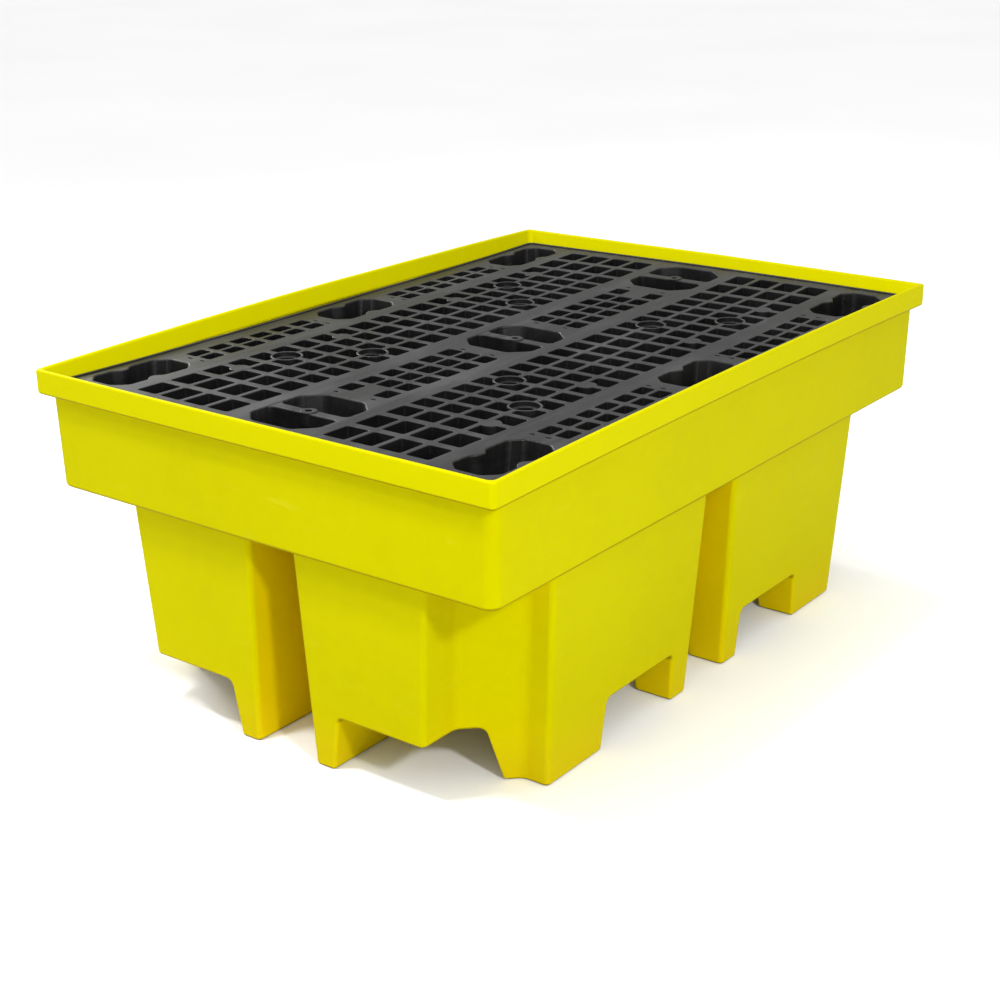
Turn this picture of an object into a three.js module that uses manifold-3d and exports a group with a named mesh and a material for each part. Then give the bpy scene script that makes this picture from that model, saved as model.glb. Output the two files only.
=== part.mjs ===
// Spill containment pallet: a rotomoulded sump tub and the nestable grid pallet that stands in it.
// Millimetres, +Z up. X runs along the long side, Y along the short side.
// The origin is the middle of the footprint, on the floor.

import * as THREE from "three";
import { mergeVertices } from "three/addons/utils/BufferGeometryUtils.js";
import Module from "manifold-3d";

const wasm = await Module();
wasm.setup();

// ---- driving dimensions: tub ----
const WALL = 8;
const BEYOND = 100; // how far a cutting solid runs past the tub's sides
const CUT = 1; // how far two solids overlap where one joins or cuts the other
const CORNER_SHIFT = 2 - Math.SQRT2; // a corner cut's change as the faces beside it move by 1
const TUB_HEIGHT = 550;
const STEP_HEIGHT = 361; // underside of the wide tray, above the floor
const RIM_HEIGHT = 35;
const RIM = { x: 650, y: 442.5, radius: 12 }; // half sizes
const TRAY_HEAD = { x: 631, y: 426 };
const TRAY_FOOT = { x: 625, y: 420.5, radius: 12 };
const SUMP_HEAD = { x: 606, y: 403 };
const SUMP_FOOT = { x: 592, y: 382, radius: 10 };
const NOTCH_HEAD = { x: 463, y: 291 }; // inner edges of the corner notches and side grooves
const NOTCH_FOOT = { x: 449, y: 268, chamfer: 72 };
const GROOVE = { headHalf: 42.5, footHalf: 58, radius: 10 };
// Fork tunnels, open at the floor: distance from the middle at the floor and at the roof.
const TUNNEL_X = { near: 96, far: 318, nearRoof: 110, farRoof: 303, roof: 92 };
const TUNNEL_Y = { near: 105, far: 306, nearRoof: 111, farRoof: 297, roof: 84 };
const TUNNEL_RADIUS = 2;

// ---- driving dimensions: deck ----
const GAP = 0.3; // between the deck's legs and the ledges that carry them
const DECK = { x: 600, y: 400, radius: 28 }; // half sizes
const DECK_TOP = 525;
const GRID_DEPTH = 35;
const DECK_WALL = 4;
const COLUMNS = [ // hole centre and width, mirrored about X = 0
  [25, 36], [79, 44], [132, 36], [180.5, 36], [229.5, 36], [278, 36],
  [326.5, 36], [375, 36], [427.5, 43], [490.5, 52], [558.5, 53],
];
const NARROW_COLUMNS = COLUMNS.slice(2, 8); // the strips between legs have only these
const WIDE_ROWS = [114.5, 164.7, 214.9, 265.1]; // four rows across each wide panel
const WIDE_HOLE = 40.5;
const CENTRE_ROWS = [36]; // and one on the middle line, a column shorter
const CENTRE_HOLE = 29;
const EDGE_ROWS = [337, 368.5];
const EDGE_HOLE = 24;
const BARS = [ // the plain bars between the rows of holes, channelled from below
  [CENTRE_ROWS[0] + CENTRE_HOLE / 2, WIDE_ROWS[0] - WIDE_HOLE / 2],
  [WIDE_ROWS[3] + WIDE_HOLE / 2, EDGE_ROWS[0] - EDGE_HOLE / 2],
];
const RING = { outer: 27, inner: 14, segments: 20 };
const RINGS = [[205, 139.6], [302.3, 240]];
const PAD = { radius: 17, segments: 12 };
const PADS = [[156.3, 250], [400, 250]];

const LEG_CHAMFER = 20;
const LEGS_X = [
  { mirrored: false, head: [-80, 80], foot: [-52, 52] },
  { mirrored: true, head: [427, 594], foot: [453, 582] },
];
const LEGS_Y = [
  { mirrored: false, head: [-71, 71], foot: [-46, 46] },
  { mirrored: true, head: [308, 393], foot: [321, 384] },
];
const WEB = { half: 10, drop: 1, skin: 4 }; // the web that splits a middle leg's pocket in two

// ---- solids ----

function solidFrom(geometry) {
  const bare = geometry.clone();
  bare.deleteAttribute("normal");
  bare.deleteAttribute("uv");
  const merged = mergeVertices(bare, 1e-4);
  const mesh = new wasm.Mesh({
    numProp: 3,
    vertProperties: new Float32Array(merged.attributes.position.array),
    triVerts: new Uint32Array(merged.index.array),
  });
  return new wasm.Manifold(mesh);
}

function meshFrom(solid, name, material) {
  const { vertProperties, triVerts } = solid.getMesh();
  const geometry = new THREE.BufferGeometry();
  geometry.setAttribute("position", new THREE.BufferAttribute(vertProperties, 3));
  geometry.setIndex(new THREE.BufferAttribute(triVerts, 1));
  geometry.computeVertexNormals();
  const mesh = new THREE.Mesh(geometry, material);
  mesh.name = name;
  return mesh;
}

// A rectangle with its corners square (segments = 0), cut (segments = 1) or rounded.
function cornered(x, y, radius = 0, segments = 0) {
  const shape = new THREE.Shape();
  const corners = [
    [x[1] - radius, y[1] - radius, 0],
    [x[0] + radius, y[1] - radius, 1],
    [x[0] + radius, y[0] + radius, 2],
    [x[1] - radius, y[0] + radius, 3],
  ];
  for (const [cx, cy, quarter] of corners) {
    for (let i = 0; i <= segments; i += 1) {
      const angle = (quarter + (segments ? i / segments : 0)) * Math.PI / 2;
      const px = cx + radius * Math.cos(angle);
      const py = cy + radius * Math.sin(angle);
      if (quarter === 0 && i === 0) shape.moveTo(px, py);
      else shape.lineTo(px, py);
    }
  }
  shape.closePath();
  return shape;
}

// A block whose outline changes from the foot rectangle at z0 to the head rectangle at z1.
function block(foot, head, z0, z1, radius, segments = 3) {
  const outline = cornered(foot.x, foot.y, radius, segments);
  const options = { depth: z1 - z0, bevelEnabled: false };
  const geometry = new THREE.ExtrudeGeometry(outline, options);
  geometry.translate(0, 0, z0);
  const position = geometry.attributes.position;
  const taper = (value, from, to) => THREE.MathUtils.mapLinear(value, from[0], from[1], to[0], to[1]);
  for (let i = 0; i < position.count; i += 1) {
    if (position.getZ(i) > (z0 + z1) / 2) {
      position.setX(i, taper(position.getX(i), foot.x, head.x));
      position.setY(i, taper(position.getY(i), foot.y, head.y));
    }
  }
  return solidFrom(geometry);
}

const centred = (size, inset = 0) => ({
  x: [-size.x + inset, size.x - inset],
  y: [-size.y + inset, size.y - inset],
});

// A range on the positive or the negative side of an axis.
const sided = (sign, low, high) => (sign > 0 ? [low, high] : [-high, -low]);

function post(radius, segments, x, y, z0, z1) {
  const geometry = new THREE.CylinderGeometry(radius, radius, z1 - z0, segments);
  geometry.rotateX(Math.PI / 2);
  geometry.translate(x, y, (z0 + z1) / 2);
  return solidFrom(geometry);
}

const joined = (solids) => solids.reduce((sum, solid) => sum.add(solid));
const cut = (solid, cutters) => cutters.reduce((rest, cutter) => rest.subtract(cutter), solid);

const SIGNS = [-1, 1];

// ---- tub ----

// What bites into the sump from the sides and from below, each grown by a wall thickness.
function sumpBites(grow) {
  const outX = RIM.x + BEYOND;
  const outY = RIM.y + BEYOND;
  const top = STEP_HEIGHT + grow;
  const chamfer = NOTCH_FOOT.chamfer + grow * CORNER_SHIFT;
  const narrow = [-GROOVE.headHalf - grow, GROOVE.headHalf + grow];
  const wide = [-GROOVE.footHalf - grow, GROOVE.footHalf + grow];
  const bites = [];
  const bite = (foot, head, roof, radius, segments) => {
    bites.push(block(foot, head, -CUT, roof, radius, segments));
  };
  for (const sx of SIGNS) {
    const footX = sided(sx, NOTCH_FOOT.x - grow, outX);
    const headX = sided(sx, NOTCH_HEAD.x - grow, outX);
    for (const sy of SIGNS) {
      const footY = sided(sy, NOTCH_FOOT.y - grow, outY);
      const headY = sided(sy, NOTCH_HEAD.y - grow, outY);
      bite({ x: footX, y: footY }, { x: headX, y: headY }, top, chamfer, 1);
    }
    bite({ x: footX, y: wide }, { x: headX, y: narrow }, top, GROOVE.radius + grow);
  }
  for (const sy of SIGNS) {
    const footY = sided(sy, NOTCH_FOOT.y - grow, outY);
    const headY = sided(sy, NOTCH_HEAD.y - grow, outY);
    bite({ x: wide, y: footY }, { x: narrow, y: headY }, top, GROOVE.radius + grow);
  }
  bite({ x: wide, y: wide }, { x: narrow, y: narrow }, top, GROOVE.radius + grow);
  for (const side of SIGNS) {
    const alongX = TUNNEL_X;
    const alongY = TUNNEL_Y;
    bite(
      { x: [-outX, outX], y: sided(side, alongX.near - grow, alongX.far + grow) },
      { x: [-outX, outX], y: sided(side, alongX.nearRoof - grow, alongX.farRoof + grow) },
      alongX.roof + grow, TUNNEL_RADIUS, 1,
    );
    bite(
      { x: sided(side, alongY.near - grow, alongY.far + grow), y: [-outY, outY] },
      { x: sided(side, alongY.nearRoof - grow, alongY.farRoof + grow), y: [-outY, outY] },
      alongY.roof + grow, TUNNEL_RADIUS, 1,
    );
  }
  return bites;
}

// The tub's filled form, each face moved in by inset; the floor and ledges rise by the same inset.
function tubForm(inset) {
  const rimFoot = TUB_HEIGHT - RIM_HEIGHT + inset;
  const rimTop = TUB_HEIGHT + (inset > 0 ? CUT : 0);
  const step = STEP_HEIGHT + inset;
  const rim = centred(RIM, inset);
  const sump = block(
    centred(SUMP_FOOT, inset), centred(SUMP_HEAD, inset), inset, step + CUT, SUMP_FOOT.radius,
  );
  return joined([
    cut(sump, sumpBites(inset)),
    block(centred(TRAY_FOOT, inset), centred(TRAY_HEAD, inset), step, rimFoot + CUT, TRAY_FOOT.radius),
    block(rim, rim, rimFoot, rimTop, RIM.radius, 4),
  ]);
}

const tub = tubForm(0).subtract(tubForm(WALL));

// ---- deck ----

const underside = DECK_TOP - GRID_DEPTH;
const legFoot = STEP_HEIGHT + WALL + GAP;

// Hole cutters for the rows given, in the columns given, on both sides of X = 0.
function gridHoles(columns, rows, height) {
  const holes = [];
  for (const [centre, width] of columns) {
    for (const x of [-centre, centre]) {
      for (const y of rows) {
        const hole = new THREE.BoxGeometry(width, height, GRID_DEPTH + 2 * CUT);
        hole.translate(x, y, underside + GRID_DEPTH / 2);
        holes.push(solidFrom(hole));
      }
    }
  }
  return holes;
}

const mirroredRows = (rows) => [...rows, ...rows.map((y) => -y)];

// The same spots in all four quarters of the deck.
const mirroredSpots = (spots) => spots.flatMap(([x, y]) => (
  SIGNS.flatMap((sx) => SIGNS.map((sy) => [sx * x, sy * y]))
));

// The long channels under the plain bars.
function barChannels() {
  const x = [-DECK.x + DECK_WALL, DECK.x - DECK_WALL];
  return BARS.flatMap(([low, high]) => SIGNS.map((side) => {
    const range = { x, y: sided(side, low + DECK_WALL, high - DECK_WALL) };
    return block(range, range, underside - CUT, DECK_TOP - DECK_WALL, 0, 0);
  }));
}

function gridPlate() {
  const plate = centred(DECK);
  return cut(block(plate, plate, underside, DECK_TOP, DECK.radius), [
    ...gridHoles(COLUMNS, mirroredRows(WIDE_ROWS), WIDE_HOLE),
    ...gridHoles(NARROW_COLUMNS, mirroredRows(CENTRE_ROWS), CENTRE_HOLE),
    ...gridHoles(NARROW_COLUMNS.slice(0, -1), [0], CENTRE_HOLE),
    ...gridHoles(NARROW_COLUMNS, mirroredRows(EDGE_ROWS), EDGE_HOLE),
    ...barChannels(),
  ]);
}

// Every leg as its head and foot rectangles; a leg on the deck's middle line is split by a web.
function legs() {
  const all = [];
  for (const alongX of LEGS_X) {
    for (const sx of alongX.mirrored ? SIGNS : [1]) {
      for (const alongY of LEGS_Y) {
        for (const sy of alongY.mirrored ? SIGNS : [1]) {
          all.push({
            head: { x: sided(sx, ...alongX.head), y: sided(sy, ...alongY.head) },
            foot: { x: sided(sx, ...alongX.foot), y: sided(sy, ...alongY.foot) },
            split: !alongY.mirrored,
          });
        }
      }
    }
  }
  return all;
}

const shrunk = ({ x, y }, inset) => ({
  x: [x[0] + inset, x[1] - inset],
  y: [y[0] + inset, y[1] - inset],
});

function legSolid({ head, foot }) {
  return block(foot, head, legFoot, DECK_TOP, LEG_CHAMFER, 1);
}

// The open pocket inside a leg; a split leg keeps a web across it, hollow from below.
function legPocket({ head, foot, split }) {
  const floor = legFoot + DECK_WALL;
  const chamfer = LEG_CHAMFER - DECK_WALL * CORNER_SHIFT;
  const pocket = block(
    shrunk(foot, DECK_WALL), shrunk(head, DECK_WALL), floor, DECK_TOP + CUT, chamfer, 1,
  );
  if (!split) return pocket;
  const middle = (head.x[0] + head.x[1]) / 2;
  const slab = (half, z0, z1) => {
    const range = { x: [middle - half, middle + half], y: head.y };
    return block(range, range, z0, z1, 0, 0);
  };
  const web = slab(WEB.half, legFoot - CUT, DECK_TOP - WEB.drop);
  const hollow = slab(WEB.half - WEB.skin, legFoot - CUT, DECK_TOP - WEB.drop - WEB.skin);
  return pocket.subtract(web).add(hollow);
}

function deckForm() {
  const legList = legs();
  const rings = mirroredSpots(RINGS);
  const pads = mirroredSpots(PADS);
  const filled = joined([
    gridPlate(),
    ...legList.map(legSolid),
    ...rings.map(([x, y]) => post(RING.outer, RING.segments, x, y, underside, DECK_TOP)),
    ...pads.map(([x, y]) => post(PAD.radius, PAD.segments, x, y, underside, DECK_TOP)),
  ]);
  return cut(filled, [
    ...legList.map(legPocket),
    ...rings.map(([x, y]) => post(RING.inner, RING.segments, x, y, underside - CUT, DECK_TOP + CUT)),
  ]);
}

// ---- assembly ----

const yellowPolyethylene = new THREE.MeshStandardMaterial({
  color: 0xe2da00,
  roughness: 0.5,
  metalness: 0,
});
const blackPolypropylene = new THREE.MeshStandardMaterial({
  color: 0x26272a,
  roughness: 0.45,
  metalness: 0,
});

const pallet = new THREE.Group();
pallet.add(meshFrom(tub, "sump_tub", yellowPolyethylene));
pallet.add(meshFrom(deckForm(), "deck_pallet", blackPolypropylene));

export default pallet;
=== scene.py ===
"""Looks of the spill containment pallet: a yellow sump tub and the black grid pallet laid in it.

Shapes are worked out in millimetres, in the CAD frame, and written to Blender in metres.
"""

import math

import bmesh
import bpy
import numpy as np
from mathutils import Matrix, Vector, noise


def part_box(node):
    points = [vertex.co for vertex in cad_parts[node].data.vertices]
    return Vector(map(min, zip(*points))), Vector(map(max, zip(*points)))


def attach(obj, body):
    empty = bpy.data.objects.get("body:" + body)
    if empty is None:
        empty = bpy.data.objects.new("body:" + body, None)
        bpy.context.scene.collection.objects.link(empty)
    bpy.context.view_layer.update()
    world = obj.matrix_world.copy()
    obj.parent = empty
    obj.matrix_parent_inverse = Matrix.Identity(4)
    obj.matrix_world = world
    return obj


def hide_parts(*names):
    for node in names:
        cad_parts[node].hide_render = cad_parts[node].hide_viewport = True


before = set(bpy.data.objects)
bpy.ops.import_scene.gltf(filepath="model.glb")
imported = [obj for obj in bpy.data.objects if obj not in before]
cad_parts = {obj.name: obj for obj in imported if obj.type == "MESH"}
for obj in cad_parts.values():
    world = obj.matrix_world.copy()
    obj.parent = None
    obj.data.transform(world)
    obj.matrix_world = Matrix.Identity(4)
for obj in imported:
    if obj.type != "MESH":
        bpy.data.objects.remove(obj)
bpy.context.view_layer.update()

MM = 0.001
SIGNS = (-1, 1)
# How far a cutter reaches past the face that it cuts, and how near two points are made one.
CUT_OVER = 1
WELD = 0.01
# Angles, in degrees: faces this even are one, edges turned more are rounded, and sharper ones stay hard.
FLAT_ANGLE, ROUND_ANGLE, SHARP_ANGLE = 0.5, 28, 40
NOISE_SEED = 5
noise.seed_set(NOISE_SEED)

# ---- tub sizes, in millimetres: half sizes in plan, and heights above the floor ----
_, tub_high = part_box("sump_tub")
RIM_X = tub_high.x / MM
RIM_Y = tub_high.y / MM
TUB_TOP = tub_high.z / MM
WALL = 8
RIM_HEIGHT = 40
STEP = 355
TRAY_HEAD = (RIM_X - 15, RIM_Y - 12.5)
TRAY_FOOT = (RIM_X - 18, RIM_Y - 15.5)
RIM_CORNER = 9
TRAY_CORNER = 20
# The sump's outline at the floor and under the step.
SUMP_FOOT = {"side": (594, 384), "notch": (449, 268), "groove": 58}
SUMP_HEAD = {"side": (608, 405), "notch": (463, 291), "groove": 42.5}
NOTCH_CUT = 72
OUTER_ROUND = 9
GROOVE_ROUND = 12
NOTCH_ROUND = 24
CORNER_SHIFT = 2 - math.sqrt(2)
# Fork tunnels: near and far wall at the floor, near and far wall at the roof, and the roof.
TUNNEL_X = (96, 318, 110, 303, 92)
TUNNEL_Y = (105, 306, 111, 297, 84)
TUNNEL_ROUND = 12
# How far the foot of the rim's leaning inner face lies inside the tray wall.
LEAN_OVERLAP = 1.5
# Edge rounding: rim top, bottom of the feet, inside floor, fork tunnels, upright edges inside and outside.
RIM_TOP_EDGE = 3.6
FOOT_EDGE = 5
FLOOR_EDGE = 4
TUNNEL_EDGE = 2.5
UPRIGHT_EDGES = (4, 6)
# Edge rounding at a level: height, whether it is the inner skin, and the convex and concave rounds.
LEVEL_EDGES = [
    (STEP, False, 8, 6), (STEP + WALL, True, 8, 5),
    (TUB_TOP - RIM_HEIGHT, False, 6, 4), (TUB_TOP - RIM_HEIGHT + WALL, True, 5, 3),
]
# The slack of the moulding: rise of the rim, its fall at both ends, tilt, drop of one corner and stretch.
CROWN = 3.9
CROWN_FALL = (6.2, 5.4)
CROWN_TILT = 0.8
FAR_CORNER_DROP = 4
STRETCH = (1.003, 1.004)
WAVE_SIZE, WAVE_HEIGHT, WAVE_LIFT = 420, 2.2, 0.3
WAVE_PLACE = Vector((7.3, 1.9, 4.4))
# Waves have no lift at the floor, and all of it from this height up.
WAVE_LIFT_HEIGHT = 150
# Spacing of the cuts that let a large flat face bend.
TUB_SPACING = 110

# ---- deck sizes ----
_, deck_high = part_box("deck_pallet")
DECK_X = deck_high.x / MM
DECK_Y = deck_high.y / MM
DECK_TOP = deck_high.z / MM
LEG_FOOT = STEP + WALL + 1.2
LEG_HEAD = DECK_TOP - 1
DECK_CORNER = 28
GRID_DEPTH = 35
FLANGE_X, FLANGE_Y, FLANGE_CORNER, FLANGE_DEPTH = 621, 418.5, 14, 9
BORDER_WIDTH, BORDER_HEIGHT = 7, 2
SKIN = 4
COLUMNS = [
    (25, 36), (79, 44), (132, 36), (180.5, 36), (229.5, 36), (278, 36),
    (326.5, 36), (375, 36), (427.5, 43), (490.5, 52), (558.5, 53),
]
NARROW = COLUMNS[2:8]
CENTRE_ROWS, CENTRE_HOLE = (0, 36), 29
WIDE_ROWS, WIDE_HOLE = (114.5, 164.7, 214.9, 265.1), 40.5
EDGE_ROWS, EDGE_HOLE = (337, 368.5), 24
HOLE_ROUND = 3.5
# Rounds of the top edges; the border has an outer and an inner one.
HOLE_LIP, SLOT_LIP, POST_LIP, BORE_LIP, BODY_LIP = 1.3, 0.9, 1.2, 1, 1
FLANGE_LIP, WEB_LIP, BOSS_LIP, BOSS_HOLE_LIP = 1.5, 2.5, 1.6, 0.8
BORDER_LIPS = (1.6, 1.2)
BARS = [(50.5, 94.25), (285.35, 325)]
SLOT = (4, 10)
SLOT_ROUND = 1.8
SLOTS = [(409, 37), (104, 30), (406, 328), (406, 356), (104, 330), (104, 357)]
RINGS = [(205, 139.6), (302.3, 240)]
RING_OUTER, RING_LEDGE, RING_HOLE, RING_DROP = 27, 23, 15, 7
PADS = [(156.3, 250), (400, 250)]
PAD_RADIUS = 17
# The round of a top edge: shares of its radius outward and down, from the upright face to the top.
LIP_ARC = [(0, 1), (0.134, 0.5), (0.5, 0.134), (1, 0)]

# Legs in plan: (head, foot) along each axis, and the corner cuts and humps of each kind.
LEGS_X = [((-80, 80), (-52, 52)), ((426, 596), (453, 582)), ((-596, -426), (-582, -453))]
LEGS_Y = [((-71, 71), (-46, 46)), ((312, 401), (321, 384)), ((-401, -312), (-384, -321))]
MIDDLE_LEG = {"cut_head": 31, "cut_foot": 20, "round": 24, "hump": 0}
OUTER_LEG = {"cut_head": 22, "cut_foot": 20, "round": 19, "hump": 11}
# A hump's half width, its shift from the middle, and the share of the leg's half depth where it starts.
HUMP_HALF = 23
HUMP_SHIFT = 0.013
HUMP_FROM = 0.9
# Size of a leg's rounds and humps at its foot, as a share of those at its head, and the least round.
FOOT_SIZE = 0.6
LEAST_ROUND = 3
# Spans on each side of a leg's plan, and the flutes along each side.
SIDE_POINTS = {"x": 42, "cut": 14, "y": 14}
FLUTES = 7
FLUTE_DEPTH = 0.6
POCKET_LIP = 2.4
LEG_LEVELS = 4
WEB_HALF, WEB_DROP, WEB_FLARE = 10, 0.8, 14
BOSS_RADIUS, BOSS_RISE, BOSS_DEPTH = 13.5, 1.8, 20
BOSS_HOLE, BOSS_HOLE_DEPTH = 5.5, 14
# Bending: the deck's middle sags, its ends rise, and its surface is a little wavy.
DECK_SAG, DECK_RISE = 3.5, 6.5
DECK_WAVE_SIZE, DECK_WAVE_HEIGHT = 300, 1.6
DECK_WAVE_PLACE = Vector((2.2, 8.1, 0))
BEND_FOOT = LEG_FOOT + 10
DECK_SPACING = 48


# ---- solids ----

def bare_object(name, mesh):
    made = bpy.data.objects.new(name, mesh)
    bpy.context.scene.collection.objects.link(made)
    return made


def loft(loops, tag=0):
    """A closed solid through loops of (x, y, z), with flat ends; its faces carry the tag."""
    count = len(loops[0])
    faces = [tuple(range(count)), tuple(range((len(loops) - 1) * count, len(loops) * count))]
    for level in range(len(loops) - 1):
        for i in range(count):
            j = (i + 1) % count
            low, high = level * count, (level + 1) * count
            faces.append((low + i, low + j, high + j, high + i))
    mesh = bpy.data.meshes.new("solid")
    mesh.from_pydata([p for loop in loops for p in loop], [], faces)
    shape = bmesh.new()
    shape.from_mesh(mesh)
    bmesh.ops.recalc_face_normals(shape, faces=shape.faces)
    for face in shape.faces:
        face.material_index = tag
    shape.to_mesh(mesh)
    shape.free()
    return bare_object("solid", mesh)


def rounded(corners, segments=6):
    """A closed outline through (x, y, radius) corners, each turned into an arc."""
    outline = []
    for i, (x, y, radius) in enumerate(corners):
        here = Vector((x, y))
        back = (Vector(corners[i - 1][:2]) - here).normalized()
        ahead = (Vector(corners[(i + 1) % len(corners)][:2]) - here).normalized()
        if radius <= 0:
            outline.append((x, y))
            continue
        half = back.angle(ahead) / 2
        centre = here + (back + ahead).normalized() * (radius / math.sin(half))
        start = here + back * (radius / math.tan(half)) - centre
        turn = start.angle_signed(here + ahead * (radius / math.tan(half)) - centre)
        for k in range(segments + 1):
            spoke = start.copy()
            spoke.rotate(Matrix.Rotation(-turn * k / segments, 2))
            outline.append(tuple(centre + spoke))
    return outline


def at_height(outline, z):
    return [(point[0], point[1], z) for point in outline]


def rectangle(x, y, radius=0):
    return [(x[1], y[1], radius), (x[0], y[1], radius), (x[0], y[0], radius), (x[1], y[0], radius)]


def centred(half):
    return (-half, half)


def sided(sign, low, high):
    return (low, high) if sign > 0 else (-high, -low)


def mirrored(quarter):
    """A closed list of corners from those of one quarter, which run from the Y axis to the X axis."""
    quarter_back = quarter[::-1]
    return (
        quarter
        + [(x, -y, *rest) for x, y, *rest in quarter_back]
        + [(-x, -y, *rest) for x, y, *rest in quarter]
        + [(-x, y, *rest) for x, y, *rest in quarter_back]
    )


def bake(solid):
    """Applies the object's modifiers to its mesh."""
    graph = bpy.context.evaluated_depsgraph_get()
    mesh = bpy.data.meshes.new_from_object(solid.evaluated_get(graph))
    solid.modifiers.clear()
    solid.data = mesh
    return solid


def combine(solid, tools, operation):
    for tool in tools:
        step = solid.modifiers.new("combine", "BOOLEAN")
        step.object = tool
        step.operation = operation
        step.solver = "MANIFOLD"
    bake(solid)
    for tool in tools:
        bpy.data.objects.remove(tool)
    return solid


def cut(solid, tools):
    return combine(solid, tools, "DIFFERENCE")


def join(solid, tools):
    return combine(solid, tools, "UNION")


def cleaned(solid, quarter=False):
    """The solid as a bmesh with flat areas dissolved, or only its quarter where X and Y are positive."""
    shape = bmesh.new()
    shape.from_mesh(solid.data)
    bmesh.ops.remove_doubles(shape, verts=shape.verts, dist=WELD)
    for normal in ((1, 0, 0), (0, 1, 0)) if quarter else ():
        everything = shape.verts[:] + shape.edges[:] + shape.faces[:]
        bmesh.ops.bisect_plane(
            shape, geom=everything, dist=0.001, plane_co=(0, 0, 0), plane_no=normal, clear_inner=True
        )
    bmesh.ops.dissolve_limit(
        shape,
        angle_limit=math.radians(FLAT_ANGLE),
        verts=shape.verts,
        edges=shape.edges,
        delimit={"MATERIAL"},
    )
    return shape


def round_edges(solid, shape, radius_of, segments=4):
    """Writes shape to the solid and rounds each edge by radius_of(middle, tags, convex)."""
    weights = []
    for edge in shape.edges:
        radius = 0
        if len(edge.link_faces) == 2 and edge.calc_face_angle(0) > math.radians(ROUND_ANGLE):
            middle = (edge.verts[0].co + edge.verts[1].co) / 2
            tags = sorted(face.material_index for face in edge.link_faces)
            radius = radius_of(middle, tags, edge.is_convex)
        weights.append(radius)
    widest = max(weights)
    shape.to_mesh(solid.data)
    shape.free()
    weight = solid.data.attributes.new("bevel_weight_edge", "FLOAT", "EDGE")
    weight.data.foreach_set("value", np.array(weights, np.float32) / widest)
    bevel = solid.modifiers.new("round", "BEVEL")
    bevel.limit_method = "WEIGHT"
    bevel.width = widest
    bevel.segments = segments
    bevel.use_clamp_overlap = False
    return bake(solid)


def slice_grid(shape, spacing, low, high):
    """Cuts the faces along evenly spaced planes, so that long flat areas can bend."""
    for axis in range(3):
        normal = [0, 0, 0]
        normal[axis] = 1
        count = max(1, round((high[axis] - low[axis]) / spacing))
        for k in range(1, count):
            place = [0, 0, 0]
            place[axis] = low[axis] + (high[axis] - low[axis]) * k / count
            everything = shape.verts[:] + shape.edges[:] + shape.faces[:]
            bmesh.ops.bisect_plane(shape, geom=everything, dist=WELD, plane_co=place, plane_no=normal)


# ---- tub ----

def sump_outline(sizes, inset):
    """The sump's plan, with its corner notches and side grooves."""
    side_x, side_y = (value - inset for value in sizes["side"])
    notch_x, notch_y = (value - inset for value in sizes["notch"])
    groove = sizes["groove"] + inset
    slant = NOTCH_CUT + inset * CORNER_SHIFT
    outer = OUTER_ROUND - inset
    quarter = [
        (groove, notch_y, GROOVE_ROUND + inset),
        (groove, side_y, outer),
        (notch_x, side_y, outer),
        (notch_x, notch_y + slant, NOTCH_ROUND + inset),
        (notch_x + slant, notch_y, NOTCH_ROUND + inset),
        (side_x, notch_y, outer),
        (side_x, groove, outer),
        (notch_x, groove, GROOVE_ROUND + inset),
    ]
    return rounded(mirrored(quarter))


def tunnel(near, far, near_roof, far_roof, roof, reach, along_x, side, inset):
    """A fork tunnel's cutter, with the roof's corners rounded."""
    radius = TUNNEL_ROUND + inset
    below = -CUT_OVER
    lean_near = (near_roof - near) / roof
    lean_far = (far - far_roof) / roof
    profile = [
        (near - inset + lean_near * below, below, 0),
        (far + inset - lean_far * below, below, 0),
        (far_roof + inset, roof + inset, radius),
        (near_roof - inset, roof + inset, radius),
    ]
    loops = []
    for end in SIGNS:
        if along_x:
            loops.append([(end * reach, side * v, z) for v, z in rounded(profile, 5)])
        else:
            loops.append([(side * v, end * reach, z) for v, z in rounded(profile, 5)])
    return loft(loops, 2 + (inset > 0))


def tub_form(inset):
    """The tub's filled form with every face moved in by inset. Tags: 0 and 1 skin, 2 and 3 tunnels."""
    tag = int(inset > 0)
    step = STEP + inset
    rim_foot = TUB_TOP - RIM_HEIGHT + inset
    rim_head = TUB_TOP + (CUT_OVER if inset else 0)
    sump = loft([
        at_height(sump_outline(SUMP_FOOT, inset), inset),
        at_height(sump_outline(SUMP_HEAD, inset), step),
        at_height(sump_outline(SUMP_HEAD, inset), step + CUT_OVER),
    ], tag)
    pillar_foot = rounded(rectangle(*[centred(SUMP_FOOT["groove"] + inset)] * 2, GROOVE_ROUND + inset))
    pillar_head = rounded(rectangle(*[centred(SUMP_HEAD["groove"] + inset)] * 2, GROOVE_ROUND + inset))
    bites = [loft([
        at_height(pillar_foot, -CUT_OVER), at_height(pillar_foot, 0), at_height(pillar_head, step),
    ], tag)]
    for side in SIGNS:
        bites.append(tunnel(*TUNNEL_X, RIM_X, True, side, inset))
        bites.append(tunnel(*TUNNEL_Y, RIM_Y, False, side, inset))
    cut(sump, bites)
    corner = TRAY_CORNER - inset
    tray = loft([
        at_height(rounded(rectangle(*[centred(half - inset) for half in half_sizes], corner)), z)
        for half_sizes, z in ((TRAY_FOOT, step), (TRAY_HEAD, rim_foot + CUT_OVER))
    ], tag)
    rim_outline = rounded(rectangle(centred(RIM_X - inset), centred(RIM_Y - inset), RIM_CORNER))
    foot_outline = rim_outline
    if inset:
        foot = [centred(half - inset - LEAN_OVERLAP) for half in TRAY_HEAD]
        foot_outline = rounded(rectangle(*foot, RIM_CORNER))
    rim = loft([at_height(foot_outline, rim_foot), at_height(rim_outline, rim_head)], tag)
    return join(sump, [tray, rim])


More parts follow.
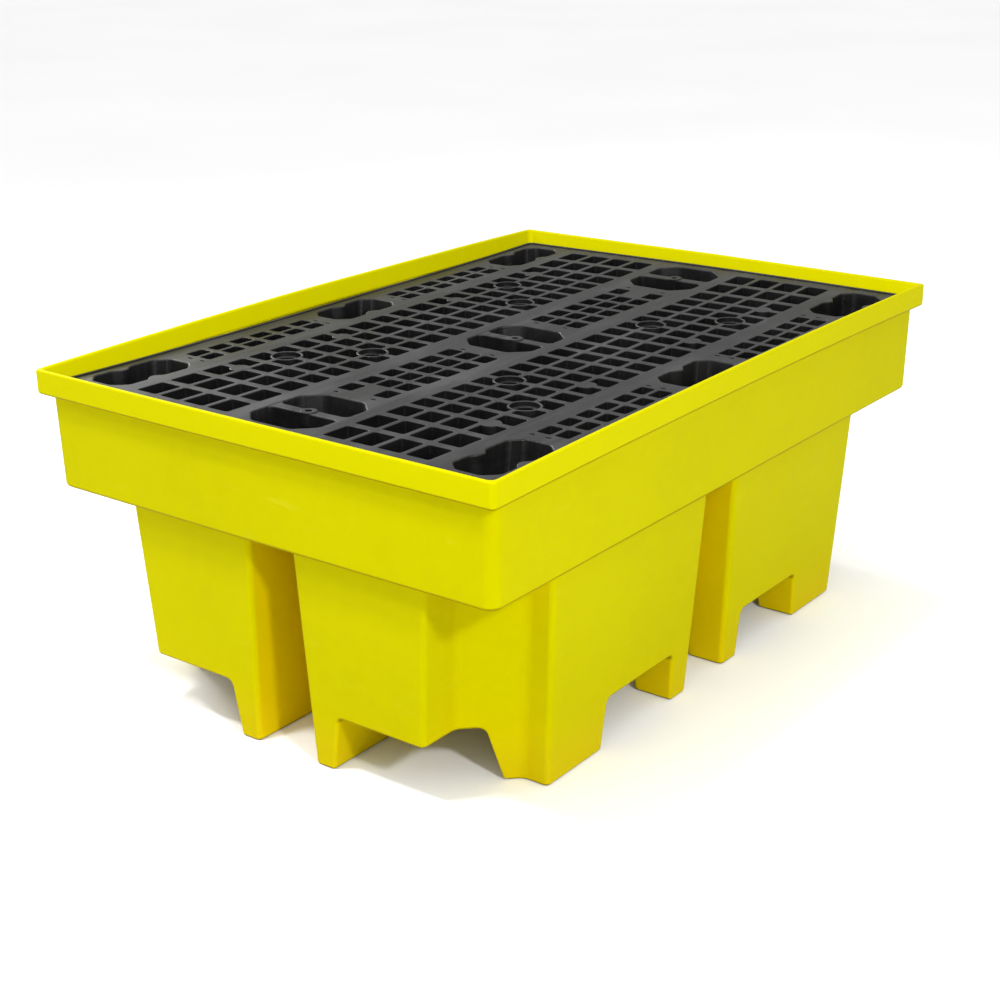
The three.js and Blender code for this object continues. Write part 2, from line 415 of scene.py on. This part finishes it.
def tub_radius(middle, tags, convex):
    """The rounding of a tub edge, by its height, skin and direction of turn."""
    z = middle.z
    inner = tags[0] in (1, 3)
    close = 0.5
    if z > TUB_TOP - close:
        return RIM_TOP_EDGE
    if z < close:
        return FOOT_EDGE
    if inner and abs(z - WALL) < close:
        return FLOOR_EDGE
    for height, is_inner, convex_radius, concave_radius in LEVEL_EDGES:
        if inner == is_inner and abs(z - height) < close:
            return convex_radius if convex else concave_radius
    if tags[0] >= 2:
        return TUNNEL_EDGE
    return UPRIGHT_EDGES[0] if inner else UPRIGHT_EDGES[1]


def far_corner_sag(x, y):
    """How much lower the corner at +X and +Y sits."""
    return FAR_CORNER_DROP * max(0, x / RIM_X) * max(0, y / RIM_Y)


def tub_bend(point):
    """The slack of a cooled moulding: the rim crowned along X, the walls a little wavy."""
    x, y, z = point
    height = min(1.0, max(0.0, (z - STEP) / (TUB_TOP - RIM_HEIGHT - STEP)))
    fall = CROWN_FALL[0] if x < 0 else CROWN_FALL[1]
    crown = CROWN - fall * (x / RIM_X) ** 2 + CROWN_TILT * y / RIM_Y - far_corner_sag(x, y)
    wave = noise.noise_vector(Vector((x, y, z)) / WAVE_SIZE + WAVE_PLACE) * WAVE_HEIGHT
    lift = min(1.0, z / WAVE_LIFT_HEIGHT)
    return Vector((
        x * STRETCH[0] + wave.x,
        y * STRETCH[1] + wave.y,
        z + wave.z * WAVE_LIFT * lift + crown * height,
    ))


def make_tub():
    tub = cut(tub_form(0), [tub_form(WALL)])
    round_edges(tub, cleaned(tub, quarter=True), tub_radius)
    shape = bmesh.new()
    shape.from_mesh(tub.data)
    for axis in "XY":
        bmesh.ops.mirror(
            shape, geom=shape.verts[:] + shape.edges[:] + shape.faces[:], merge_dist=WELD, axis=axis
        )
    bmesh.ops.remove_doubles(shape, verts=shape.verts, dist=WELD)
    slice_grid(shape, TUB_SPACING, (-RIM_X, -RIM_Y, 0), (RIM_X, RIM_Y, TUB_TOP))
    for vertex in shape.verts:
        vertex.co = tub_bend(vertex.co)
    return finished(tub, shape, "sump_tub_moulding")


def finished(solid, shape, name):
    """Writes the bmesh in metres, smooth, with normals that keep the flat areas flat."""
    bmesh.ops.triangulate(shape, faces=[face for face in shape.faces if len(face.verts) > 4])
    bmesh.ops.recalc_face_normals(shape, faces=shape.faces)
    bmesh.ops.scale(shape, vec=(MM, MM, MM), verts=shape.verts)
    for face in shape.faces:
        face.smooth = True
        face.material_index = 0
    for edge in shape.edges:
        edge.smooth = len(edge.link_faces) == 2 and edge.calc_face_angle(0) < math.radians(SHARP_ANGLE)
    shape.to_mesh(solid.data)
    shape.free()
    solid.data.materials.clear()
    solid.name = name
    solid.data.name = name
    weighted = solid.modifiers.new("flat areas keep their normals", "WEIGHTED_NORMAL")
    weighted.weight = 80
    weighted.keep_sharp = True
    return solid


# ---- deck ----

def rising(outline_of, low, top, lip, grows):
    """Loops of a solid whose top edge is rounded: outward for a cutter, inward for a post."""
    sign = 1 if grows else -1
    loops = [at_height(outline_of(0), low)]
    for spread, drop in LIP_ARC:
        loops.append(at_height(outline_of(sign * lip * spread), top - lip * drop))
    if grows:
        loops.append(at_height(outline_of(lip), top + CUT_OVER))
    return loops


def merged(solids):
    """One object from several that do not touch."""
    shape = bmesh.new()
    for solid in solids:
        shape.from_mesh(solid.data)
        bpy.data.objects.remove(solid)
    mesh = bpy.data.meshes.new("solids")
    shape.to_mesh(mesh)
    shape.free()
    return bare_object("solids", mesh)


def hole(x, y, width, height, radius, lip=HOLE_LIP):
    def outline_of(grown):
        half_x, half_y = width / 2 + grown, height / 2 + grown
        return rounded(rectangle((x - half_x, x + half_x), (y - half_y, y + half_y), radius + grown), 3)

    return loft(rising(outline_of, DECK_TOP - GRID_DEPTH - CUT_OVER, DECK_TOP, lip, True))


def circle(x, y, radius, segments=40):
    turn = 2 * math.pi / segments
    return [(x + radius * math.cos(i * turn), y + radius * math.sin(i * turn)) for i in range(segments)]


def round_post(x, y, radius, low, top, lip):
    return loft(rising(lambda grown: circle(x, y, radius + grown), low, top, lip, False))


def round_hole(x, y, radius, low, top, lip):
    return loft(rising(lambda grown: circle(x, y, radius + grown), low, top, lip, True))


def both_ways(values):
    return sorted({sign * value for sign in SIGNS for value in values})


def quarters(spots):
    return [(sx * x, sy * y) for x, y in spots for sx in SIGNS for sy in SIGNS]


def grid_holes():
    strips = [
        (COLUMNS, both_ways(WIDE_ROWS), WIDE_HOLE),
        (NARROW, both_ways(CENTRE_ROWS[1:]), CENTRE_HOLE),
        (NARROW[:-1], [0], CENTRE_HOLE),
        (NARROW, both_ways(EDGE_ROWS), EDGE_HOLE),
    ]
    holes = []
    for columns, rows, height in strips:
        for centre, width in columns:
            for x in (-centre, centre):
                holes += [hole(x, y, width, height, HOLE_ROUND) for y in rows]
    for x, y in quarters(SLOTS):
        holes.append(hole(x, y, *SLOT, SLOT_ROUND, SLOT_LIP))
    return merged(holes)


def octagon(x, y, slant, radius):
    """The plan of a leg: a rectangle with cut corners, with evenly spaced points on every side."""
    corners = [
        (x[1] - slant, y[1], radius), (x[0] + slant, y[1], radius), (x[0], y[1] - slant, radius),
        (x[0], y[0] + slant, radius), (x[0] + slant, y[0], radius), (x[1] - slant, y[0], radius),
        (x[1], y[0] + slant, radius), (x[1], y[1] - slant, radius),
    ]
    steps = 4
    bare = rounded(corners, steps)
    points = []
    sides = ["x", "cut", "y", "cut"] * 2
    for i, side in enumerate(sides):
        arc = bare[i * (steps + 1):(i + 1) * (steps + 1)]
        following = bare[((i + 1) * (steps + 1)) % len(bare)]
        points += [(*point, 0.0) for point in arc]
        count = SIDE_POINTS[side]
        for k in range(1, count):
            part = k / count
            start = arc[-1]
            points.append((
                start[0] + (following[0] - start[0]) * part,
                start[1] + (following[1] - start[1]) * part,
                part,
            ))
    return points


def leg_outline(x, y, slant, kind, inset, flute, size):
    """A leg's plan moved in by inset, humped on its long sides and fluted."""
    x = (x[0] + inset, x[1] - inset)
    y = (y[0] + inset, y[1] - inset)
    middle_x, middle_y = sum(x) / 2 * (1 + HUMP_SHIFT), sum(y) / 2
    plain = octagon(x, y, slant - inset * CORNER_SHIFT, max(LEAST_ROUND, kind["round"] * size - inset))
    outline = []
    for i, (px, py, part) in enumerate(plain):
        before, after = plain[i - 1], plain[(i + 1) % len(plain)]
        along = Vector((after[0] - before[0], after[1] - before[1])).normalized()
        depth = flute * 0.5 * (1 - math.cos(2 * math.pi * FLUTES * part))
        place = Vector((px, py)) + Vector((-along.y, along.x)) * depth
        reach = abs(px - middle_x) / HUMP_HALF
        if kind["hump"] and reach < 1 and abs(py - middle_y) > HUMP_FROM * (y[1] - middle_y):
            bulge = kind["hump"] * size * math.cos(math.pi / 2 * reach) ** 2
            place.y -= math.copysign(bulge, py - middle_y)
        outline.append(tuple(place))
    return outline


def leg_loops(x_pair, y_pair, kind, inset, flute, low, high):
    """Loops from a leg's foot to its head, drawn at the heights low and high."""
    loops = []
    for k in range(LEG_LEVELS + 1):
        part = k / LEG_LEVELS
        z = low + (high - low) * part
        reach = (z - LEG_FOOT) / (DECK_TOP - LEG_FOOT)
        x = [a + (b - a) * reach for a, b in zip(x_pair[1], x_pair[0])]
        y = [a + (b - a) * reach for a, b in zip(y_pair[1], y_pair[0])]
        slant = kind["cut_foot"] + (kind["cut_head"] - kind["cut_foot"]) * reach
        size = FOOT_SIZE + (1 - FOOT_SIZE) * reach
        loops.append(at_height(leg_outline(x, y, slant, kind, inset, flute, size), z))
    return loops


def leg_solid(x_pair, y_pair, kind):
    return loft(leg_loops(x_pair, y_pair, kind, 0, 0, LEG_FOOT, LEG_HEAD))


def leg_pocket(x_pair, y_pair, kind):
    loops = leg_loops(x_pair, y_pair, kind, SKIN, FLUTE_DEPTH, LEG_FOOT + SKIN, DECK_TOP - POCKET_LIP)
    x, y = x_pair[0], y_pair[0]
    for spread, drop in LIP_ARC[1:]:
        outline = leg_outline(
            x, y, kind["cut_head"], kind, SKIN - POCKET_LIP * spread, FLUTE_DEPTH * (1 - spread), 1
        )
        loops.append(at_height(outline, DECK_TOP - POCKET_LIP * drop))
    loops.append([(px, py, DECK_TOP + CUT_OVER) for px, py, _ in loops[-1]])
    return loft(loops)


def web(x, y_reach):
    """The bar across a middle pocket, wider at both ends, with a drilled boss in its middle."""
    top = DECK_TOP - WEB_DROP
    steps = 6

    def outline_of(grown):
        right = []
        for k in range(steps + 1):
            turn = math.pi / 2 * k / steps
            half = WEB_HALF + grown + WEB_FLARE * (1 - math.sin(turn))
            right.append((half, y_reach - WEB_FLARE * (1 - math.cos(turn))))
        half_plan = [(x + px, py) for px, py in right] + [(x + px, -py) for px, py in right[::-1]]
        return half_plan + [(2 * x - px, py) for px, py in half_plan[::-1]]

    bar = loft(rising(outline_of, LEG_FOOT, top, WEB_LIP, False))
    join(bar, [round_post(x, 0, BOSS_RADIUS, top - BOSS_DEPTH, top + BOSS_RISE, BOSS_LIP)])
    return cut(bar, [round_hole(x, 0, BOSS_HOLE, top - BOSS_HOLE_DEPTH, top + BOSS_RISE, BOSS_HOLE_LIP)])


def plate(x, y, corner, low, top, lip, grows=False):
    """A centred rounded plate, or a cutter of that shape."""
    def outline_of(grown):
        return rounded(rectangle(centred(x + grown), centred(y + grown), corner + grown), 8)

    return loft(rising(outline_of, low, top, lip, grows))


def border():
    """The low raised edge around the deck."""
    top = DECK_TOP + BORDER_HEIGHT
    foot = DECK_TOP - SKIN
    ring = plate(FLANGE_X, FLANGE_Y, FLANGE_CORNER, foot, top, BORDER_LIPS[0])
    inside = (half - BORDER_WIDTH for half in (FLANGE_X, FLANGE_Y, FLANGE_CORNER))
    return cut(ring, [plate(*inside, foot - CUT_OVER, top, BORDER_LIPS[1], True)])


def make_deck():
    low = DECK_TOP - GRID_DEPTH
    deck = plate(DECK_X, DECK_Y, DECK_CORNER, low, DECK_TOP - SKIN, BODY_LIP)
    flange_foot = DECK_TOP - FLANGE_DEPTH
    join(deck, [plate(FLANGE_X, FLANGE_Y, FLANGE_CORNER, flange_foot, DECK_TOP, FLANGE_LIP)])
    channels = []
    for near, far in BARS:
        for side in SIGNS:
            outline = rectangle(centred(DECK_X - SKIN), sided(side, near + SKIN, far - SKIN))
            channels.append(loft([at_height(outline, low - CUT_OVER), at_height(outline, DECK_TOP - SKIN)]))
    cut(deck, [grid_holes(), *channels])
    legs = [
        (x_pair, y_pair, OUTER_LEG if j else MIDDLE_LEG)
        for x_pair in LEGS_X for j, y_pair in enumerate(LEGS_Y)
    ]
    posts = [round_post(x, y, RING_OUTER, low, DECK_TOP, POST_LIP) for x, y in quarters(RINGS)]
    posts += [round_post(x, y, PAD_RADIUS, low, DECK_TOP, POST_LIP) for x, y in quarters(PADS)]
    join(deck, [merged([leg_solid(*leg) for leg in legs]), merged(posts)])
    pockets = merged([leg_pocket(*leg) for leg in legs])
    ledge = DECK_TOP - RING_DROP
    ledges = merged([
        round_hole(x, y, RING_LEDGE, ledge, DECK_TOP, POST_LIP) for x, y in quarters(RINGS)
    ])
    bores = merged([
        round_hole(x, y, RING_HOLE, low - CUT_OVER, ledge, BORE_LIP) for x, y in quarters(RINGS)
    ])
    cut(deck, [pockets, ledges, bores])
    webs = [web(sum(x_pair[0]) / 2, LEGS_Y[0][0][1] - SKIN / 2) for x_pair in LEGS_X]
    join(deck, [merged(webs), border()])
    shape = cleaned(deck)
    slice_grid(shape, DECK_SPACING, (-DECK_X, -DECK_Y, LEG_FOOT), (DECK_X, DECK_Y, DECK_TOP))
    for vertex in shape.verts:
        vertex.co = deck_bend(vertex.co)
    return finished(deck, shape, "deck_pallet_moulding")


def deck_bend(point):
    """A used pallet's sag: the grid is lower in the middle and higher at both short ends."""
    x, y, z = point
    height = min(1.0, max(0.0, (z - BEND_FOOT) / (DECK_TOP - GRID_DEPTH - BEND_FOOT)))
    sag = -DECK_SAG + DECK_RISE * (x / DECK_X) ** 2 - far_corner_sag(x, y)
    wave = noise.noise(Vector((x, y, 0)) / DECK_WAVE_SIZE + DECK_WAVE_PLACE) * DECK_WAVE_HEIGHT
    return Vector((x, y, z + (sag + wave) * height))


# ---- materials ----

# Colours, as linear red, green, blue and alpha.
YELLOW = (0.44, 0.412, 0.0, 1)
YELLOW_DEEP = (0.412, 0.382, 0.0, 1)
YELLOW_PALE = (0.468, 0.44, 0.0, 1)
# Painted light: the rim band is coloured lighter than the walls, as if it caught more light from above.
YELLOW_RIM_PAINTED_LIGHT = (0.47, 0.442, 0.0, 1)
# Painted shade: the orange tone of shade and warm bounce light in creases and recesses.
YELLOW_CREASE_SHADE = (0.70, 0.49, 0.0, 1)
YELLOW_DUST = (0.36, 0.32, 0.02, 1)
YELLOW_SCUFF = (0.51, 0.48, 0.02, 1)
# Painted shade: the dark colour of faces turned downward, out of reach of the floor's bounce light.
YELLOW_UNDERSIDE_SHADE = (0.25, 0.2, 0.0, 1)
BLACK = (0.0065, 0.0065, 0.007, 1)
BLACK_DEEP = (0.0035, 0.0035, 0.0037, 1)
# Partly wear and dust, partly painted sheen: the lighter grey of worn patches on top faces.
BLACK_WORN_AND_SHEEN = (0.045, 0.045, 0.046, 1)
BLACK_SPECK = (0.09, 0.09, 0.09, 1)
FLOOR = (0.90, 0.90, 0.90, 1)
FLOOR_PALE = (0.915, 0.915, 0.915, 1)


def material_nodes(name):
    """A new material, its node tree and its main shader."""
    material = bpy.data.materials.new(name)
    material.use_nodes = True
    tree = material.node_tree
    return material, tree, tree.nodes["Principled BSDF"]


def add_node(tree, kind, settings=None, **inputs):
    """A node with attributes from settings and values or links for its inputs."""
    node = tree.nodes.new(kind)
    for key, value in (settings or {}).items():
        setattr(node, key, value)
    for key, value in inputs.items():
        socket = node.inputs[int(key[1:])] if key[0] == "i" and key[1:].isdigit() else node.inputs[key]
        if isinstance(value, bpy.types.NodeSocket):
            tree.links.new(value, socket)
        else:
            socket.default_value = value
    return node


def noise_value(tree, place, scale, detail=4, roughness=0.55, stretch=None):
    if stretch:
        place = add_node(tree, "ShaderNodeMapping", None, Vector=place, Scale=stretch).outputs[0]
    node = add_node(
        tree, "ShaderNodeTexNoise", None, Vector=place, Scale=scale, Detail=detail, Roughness=roughness
    )
    return node.outputs[0]


def spread(tree, value, low, high, to_low=0.0, to_high=1.0):
    node = add_node(tree, "ShaderNodeMapRange", None, i0=value, i1=low, i2=high, i3=to_low, i4=to_high)
    return node.outputs[0]


def blend(tree, factor, first, second, kind="MIX"):
    node = add_node(tree, "ShaderNodeMix", {"data_type": "RGBA", "blend_type": kind})
    for socket, value in ((node.inputs[0], factor), (node.inputs[6], first), (node.inputs[7], second)):
        if isinstance(value, bpy.types.NodeSocket):
            tree.links.new(value, socket)
        else:
            socket.default_value = value
    return node.outputs[2]


def arithmetic(tree, operation, first, second):
    return add_node(tree, "ShaderNodeMath", {"operation": operation}, i0=first, i1=second).outputs[0]


def bump(tree, height, distance, strength=1.0, normal=None):
    node = add_node(tree, "ShaderNodeBump", None, Height=height, Distance=distance, Strength=strength)
    if normal:
        tree.links.new(normal, node.inputs["Normal"])
    return node.outputs[0]


def yellow_polyethylene():
    """Rotomoulded polyethylene: even pigment, a pebbled skin, scuffs and a little dust near the floor, with
    painted shade in creases and on undersides and painted light on the rim band.
    """
    material, tree, shader = material_nodes("yellow rotomoulded polyethylene")
    place = add_node(tree, "ShaderNodeTexCoord").outputs["Object"]
    clouds = noise_value(tree, place, 2.3, 3)
    mottle = noise_value(tree, place, 38, 4, 0.6)
    pebbles = noise_value(tree, place, 420, 2, 0.5)
    scuffs = noise_value(tree, place, 9, 8, 0.72, (1, 1, 5))
    colour = blend(tree, spread(tree, clouds, 0.3, 0.7), YELLOW_DEEP, YELLOW)
    colour = blend(tree, spread(tree, mottle, 0.35, 0.75, 0, 0.35), colour, YELLOW_PALE)
    height = add_node(tree, "ShaderNodeSeparateXYZ", None, Vector=place).outputs[2]
    dust_reach = arithmetic(tree, "MULTIPLY", spread(tree, height, 0.0, 0.09, 1, 0), mottle)
    colour = blend(tree, arithmetic(tree, "MULTIPLY", dust_reach, 0.5), colour, YELLOW_DUST)
    scuffed = spread(tree, scuffs, 0.60, 0.68)
    colour = blend(tree, arithmetic(tree, "MULTIPLY", scuffed, 0.25), colour, YELLOW_SCUFF)
    # Painted light: from rim height up the colour is lighter, standing in for the rim catching more light
    # from above.
    rim = spread(tree, height, 0.497, 0.511)
    colour = blend(tree, rim, colour, YELLOW_RIM_PAINTED_LIGHT)
    # Painted shade: where ambient occlusion finds creases and recesses below the rim, the colour turns
    # deeper orange, standing in for shade and bounce light in the folds.
    openness = add_node(tree, "ShaderNodeAmbientOcclusion", {"samples": 6}, Distance=0.22).outputs["AO"]
    below_rim = spread(tree, rim, 0, 1, 1, 0.15)
    painted_crease_shade = arithmetic(tree, "MULTIPLY", spread(tree, openness, 0.25, 0.75, 0.8, 0), below_rim)
    colour = blend(tree, painted_crease_shade, colour, YELLOW_CREASE_SHADE)
    normal = add_node(tree, "ShaderNodeNewGeometry").outputs["Normal"]
    facing_up = add_node(tree, "ShaderNodeSeparateXYZ", None, Vector=normal).outputs[2]
    # Painted shade: faces turned downward are darkened, as if no bounce light from the floor reached them.
    colour = blend(tree, spread(tree, facing_up, -0.15, -0.6), colour, YELLOW_UNDERSIDE_SHADE)
    tree.links.new(colour, shader.inputs["Base Color"])
    rough = arithmetic(
        tree, "ADD", spread(tree, mottle, 0.3, 0.7, 0.40, 0.50), spread(tree, scuffs, 0.6, 0.7, 0, 0.12)
    )
    tree.links.new(rough, shader.inputs["Roughness"])
    shader.inputs["IOR"].default_value = 1.5
    shader.inputs["Metallic"].default_value = 0.08
    shader.inputs["Specular IOR Level"].default_value = 0.01
    shader.inputs["Specular Tint"].default_value = (1.0, 0.93, 0.0, 1)
    waves = bump(tree, noise_value(tree, place, 14, 2), 0.0016)
    skin = bump(tree, pebbles, 0.00022, 0.8, waves)
    tree.links.new(bump(tree, mottle, 0.0005, 0.6, skin), shader.inputs["Normal"])
    return material


def black_polypropylene():
    """Moulded recycled polypropylene: streaked along its length, scuffed and dusty on top, with painted
    sheen in the lighter top patches.
    """
    material, tree, shader = material_nodes("black recycled polypropylene")
    place = add_node(tree, "ShaderNodeTexCoord").outputs["Object"]
    streaks = noise_value(tree, place, 26, 6, 0.65, (0.16, 1, 1))
    grain = noise_value(tree, place, 210, 5, 0.7)
    patches = noise_value(tree, place, 6.5, 4, 0.6)
    normal = add_node(tree, "ShaderNodeNewGeometry").outputs["Normal"]
    facing_up = add_node(tree, "ShaderNodeSeparateXYZ", None, Vector=normal).outputs[2]
    top = spread(tree, facing_up, 0.6, 0.95)
    patchy = spread(tree, patches, 0.3, 0.7, 0.3, 1)
    # Partly wear and dust, partly painted sheen: streaky patches on faces turned upward are lightened,
    # standing in part for glare that varies over the top.
    wear_and_sheen = arithmetic(tree, "MULTIPLY", spread(tree, streaks, 0.40, 0.66), patchy)
    colour = blend(tree, spread(tree, patches, 0.3, 0.7), BLACK_DEEP, BLACK)
    colour = blend(tree, arithmetic(tree, "MULTIPLY", wear_and_sheen, top), colour, BLACK_WORN_AND_SHEEN)
    specks = arithmetic(tree, "MULTIPLY", spread(tree, grain, 0.62, 0.74, 0, 0.5), top)
    colour = blend(tree, specks, colour, BLACK_SPECK)
    tree.links.new(colour, shader.inputs["Base Color"])
    fine_rough = spread(tree, grain, 0.3, 0.7, 0, 0.08)
    rough = arithmetic(tree, "ADD", spread(tree, streaks, 0.3, 0.7, 0.24, 0.60), fine_rough)
    tree.links.new(rough, shader.inputs["Roughness"])
    shader.inputs["IOR"].default_value = 1.5
    shader.inputs["Specular IOR Level"].default_value = 0.25
    fine = bump(tree, grain, 0.0002, 0.7)
    tree.links.new(bump(tree, streaks, 0.0016, 0.8, fine), shader.inputs["Normal"])
    return material


# ---- stage ----

# Strength of the dome at the horizon and overhead, then the height and strength of the pale backdrop.
WORLD_STRENGTH = (0.10, 1.52)
BACKDROP_HEIGHT, BACKDROP_STRENGTH = 0.2, 0.72
# The camera's lens, its yaw, pitch and roll in degrees, and its place in metres.
LENS = 63.36
CAMERA_TURN = (53.05, 20.41, -0.55)
CAMERA_PLACE = (-2.3108, -1.7027, 1.3)
FLOOR_SIZE = 60
# Name, place, target, sides and power of each light, in metres and watts.
LIGHTS = [
    ("key", (-1.75, -3.0, 2.3), (0, 0, 0.3), (0.3, 0.3), 72),
    ("left softbox", (-1.5, 0.3, 3.0), (-0.5, 0, 0.3), (0.28, 0.28), 51),
    ("front fill", (-2.9, -2.2, 1.5), (0, 0, 0.3), (1.2, 1.2), 10),
    ("far softbox", (0.7, 3.2, 2.1), (-0.3, 0, 0.5), (1.4, 1.0), 80),
]


def pale_floor():
    material, tree, shader = material_nodes("pale floor")
    place = add_node(tree, "ShaderNodeTexCoord").outputs["Object"]
    clouds = noise_value(tree, place, 0.8, 3)
    grain = noise_value(tree, place, 160, 3)
    colour = blend(tree, spread(tree, clouds, 0.3, 0.7), FLOOR, FLOOR_PALE)
    tree.links.new(colour, shader.inputs["Base Color"])
    tree.links.new(spread(tree, clouds, 0.3, 0.7, 0.6, 0.75), shader.inputs["Roughness"])
    shader.inputs["Specular IOR Level"].default_value = 0.2
    tree.links.new(bump(tree, grain, 0.0002, 0.4), shader.inputs["Normal"])
    return material


def area_light(name, place, target, size, power):
    data = bpy.data.lights.new(name, "AREA")
    data.shape = "RECTANGLE"
    data.size, data.size_y = size
    data.energy = power
    light = bpy.data.objects.new(name, data)
    bpy.context.scene.collection.objects.link(light)
    light.location = place
    light.rotation_mode = "QUATERNION"
    light.rotation_quaternion = (Vector(target) - Vector(place)).to_track_quat("-Z", "Y")


def make_world():
    """A pale studio: bright overhead, dimmer lower down, with a pale backdrop at the horizon."""
    world = bpy.data.worlds.new("studio")
    bpy.context.scene.world = world
    world.use_nodes = True
    tree = world.node_tree
    direction = add_node(tree, "ShaderNodeTexCoord").outputs["Generated"]
    height = add_node(tree, "ShaderNodeSeparateXYZ", None, Vector=direction).outputs[2]
    background = tree.nodes["Background"]
    background.inputs["Color"].default_value = (1, 1, 1, 1)
    dome = spread(tree, height, 0, 1, *WORLD_STRENGTH)
    backdrop = spread(tree, height, 0, BACKDROP_HEIGHT, BACKDROP_STRENGTH, 0)
    tree.links.new(arithmetic(tree, "ADD", dome, backdrop), background.inputs["Strength"])


def make_camera():
    data = bpy.data.cameras.new("camera")
    data.lens = LENS
    made = bpy.data.objects.new("camera", data)
    bpy.context.scene.collection.objects.link(made)
    yaw, pitch, roll = (math.radians(value) for value in CAMERA_TURN)
    forward = Vector((math.sin(yaw) * math.cos(pitch), math.cos(yaw) * math.cos(pitch), -math.sin(pitch)))
    level = Vector((math.cos(yaw), -math.sin(yaw), 0))
    right = level * math.cos(roll) + level.cross(forward) * math.sin(roll)
    turn = Matrix((right, right.cross(forward), -forward)).transposed()
    made.matrix_world = Matrix.Translation(CAMERA_PLACE) @ turn.to_4x4()
    bpy.context.scene.camera = made


tub = make_tub()
tub.data.materials.append(yellow_polyethylene())
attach(tub, "tub")
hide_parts("sump_tub")

deck = make_deck()
deck.data.materials.append(black_polypropylene())
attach(deck, "deck")
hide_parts("deck_pallet")

bpy.ops.mesh.primitive_plane_add(size=FLOOR_SIZE)
floor = bpy.context.object
floor.name = "floor"
floor.data.materials.append(pale_floor())

make_camera()
make_world()
for light in LIGHTS:
    area_light(*light)
bpy.context.scene.view_settings.view_transform = "Standard"
